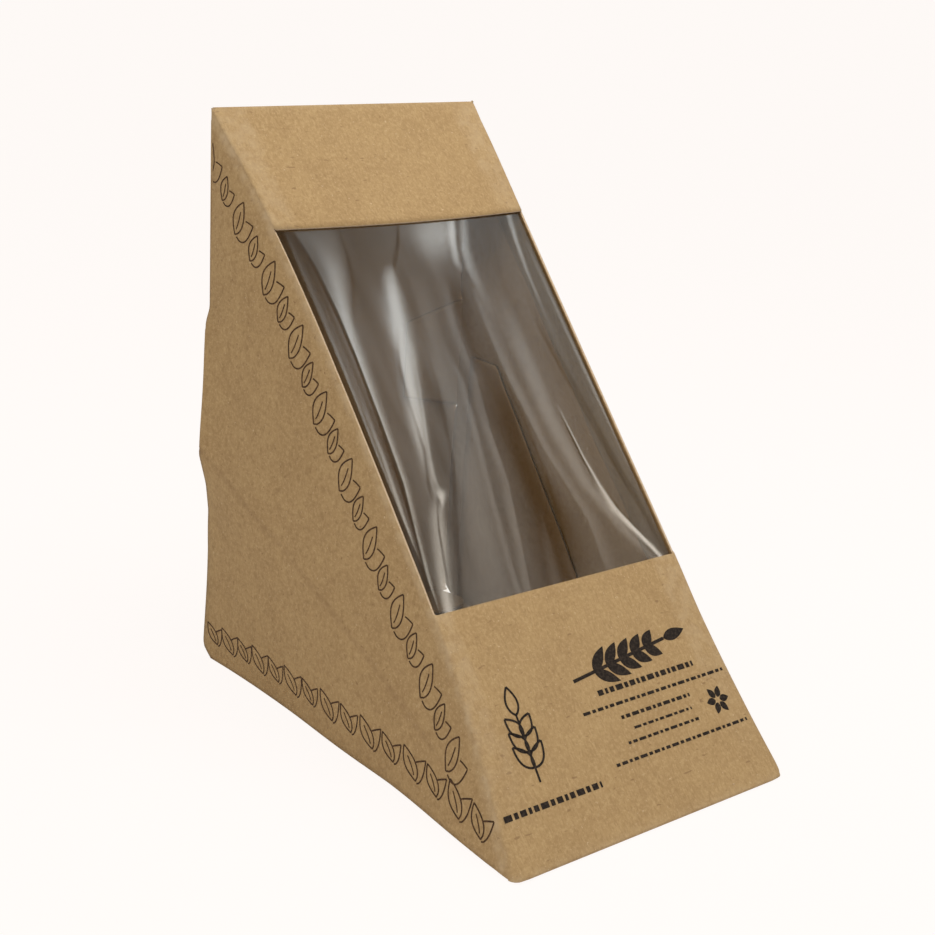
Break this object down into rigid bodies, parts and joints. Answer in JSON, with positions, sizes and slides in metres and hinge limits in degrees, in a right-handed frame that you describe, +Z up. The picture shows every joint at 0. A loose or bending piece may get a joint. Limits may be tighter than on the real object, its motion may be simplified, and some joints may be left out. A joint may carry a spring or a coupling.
{
  "type": "cardboard sandwich wedge box",
  "caption": "Right-angled wedge box folded from brown kraft board, with a clear film window in its sloping front and a hinged rear lid that tucks in at its foot.",
  "frame": {"origin": "middle of the base's underside", "axes": "+Z up, the sloping window faces -Y, the upright lid faces +Y, +X runs along the lid's fold"},
  "size_m": [0.0739, 0.1118, 0.1239],
  "materials": {
    "kraft_board": "uncoated brown kraft board, fine fibre flecks, raw cut edges",
    "clear_film": "clear film, glossy, softly rippled"
  },
  "bodies": {
    "box": {"carton": "kraft_board", "window_film": "clear_film"},
    "lid": {"rear_lid": "kraft_board"}
  },
  "joints": [
    {"name": "lid_fold", "type": "hinge", "parent": "box", "child": "lid", "pos_m": [0, 0.056, 0.12105], "axis": [1, 0, 0], "range_deg": [0, 120]}
  ]
}
